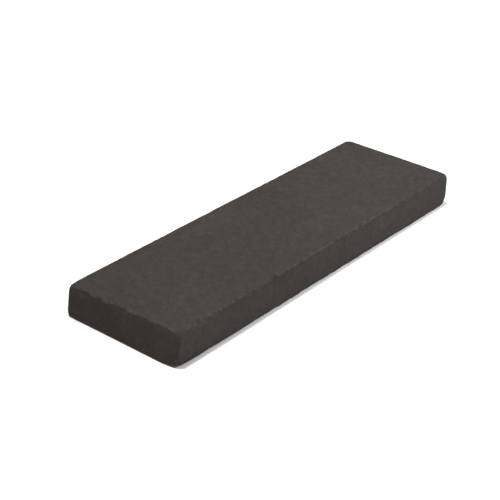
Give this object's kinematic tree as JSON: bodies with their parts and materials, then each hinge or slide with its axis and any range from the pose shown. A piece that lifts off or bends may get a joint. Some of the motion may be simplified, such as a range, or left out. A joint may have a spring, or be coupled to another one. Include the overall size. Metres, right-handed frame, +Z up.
{
  "type": "sharpening whetstone",
  "caption": "Pocket-size rectangular whetstone of dark bonded abrasive, with two flat honing faces, lightly rounded arrises and round upright corners.",
  "frame": {"origin": "centre of the underside, on the surface the stone lies on", "axes": "+X along the stone's length, +Y across its width, +Z up out of the upper honing face"},
  "size_m": [0.1, 0.029, 0.0075],
  "materials": {
    "abrasive": "matte"
  },
  "bodies": {
    "root": {"stone": "abrasive"}
  },
  "joints": []
}
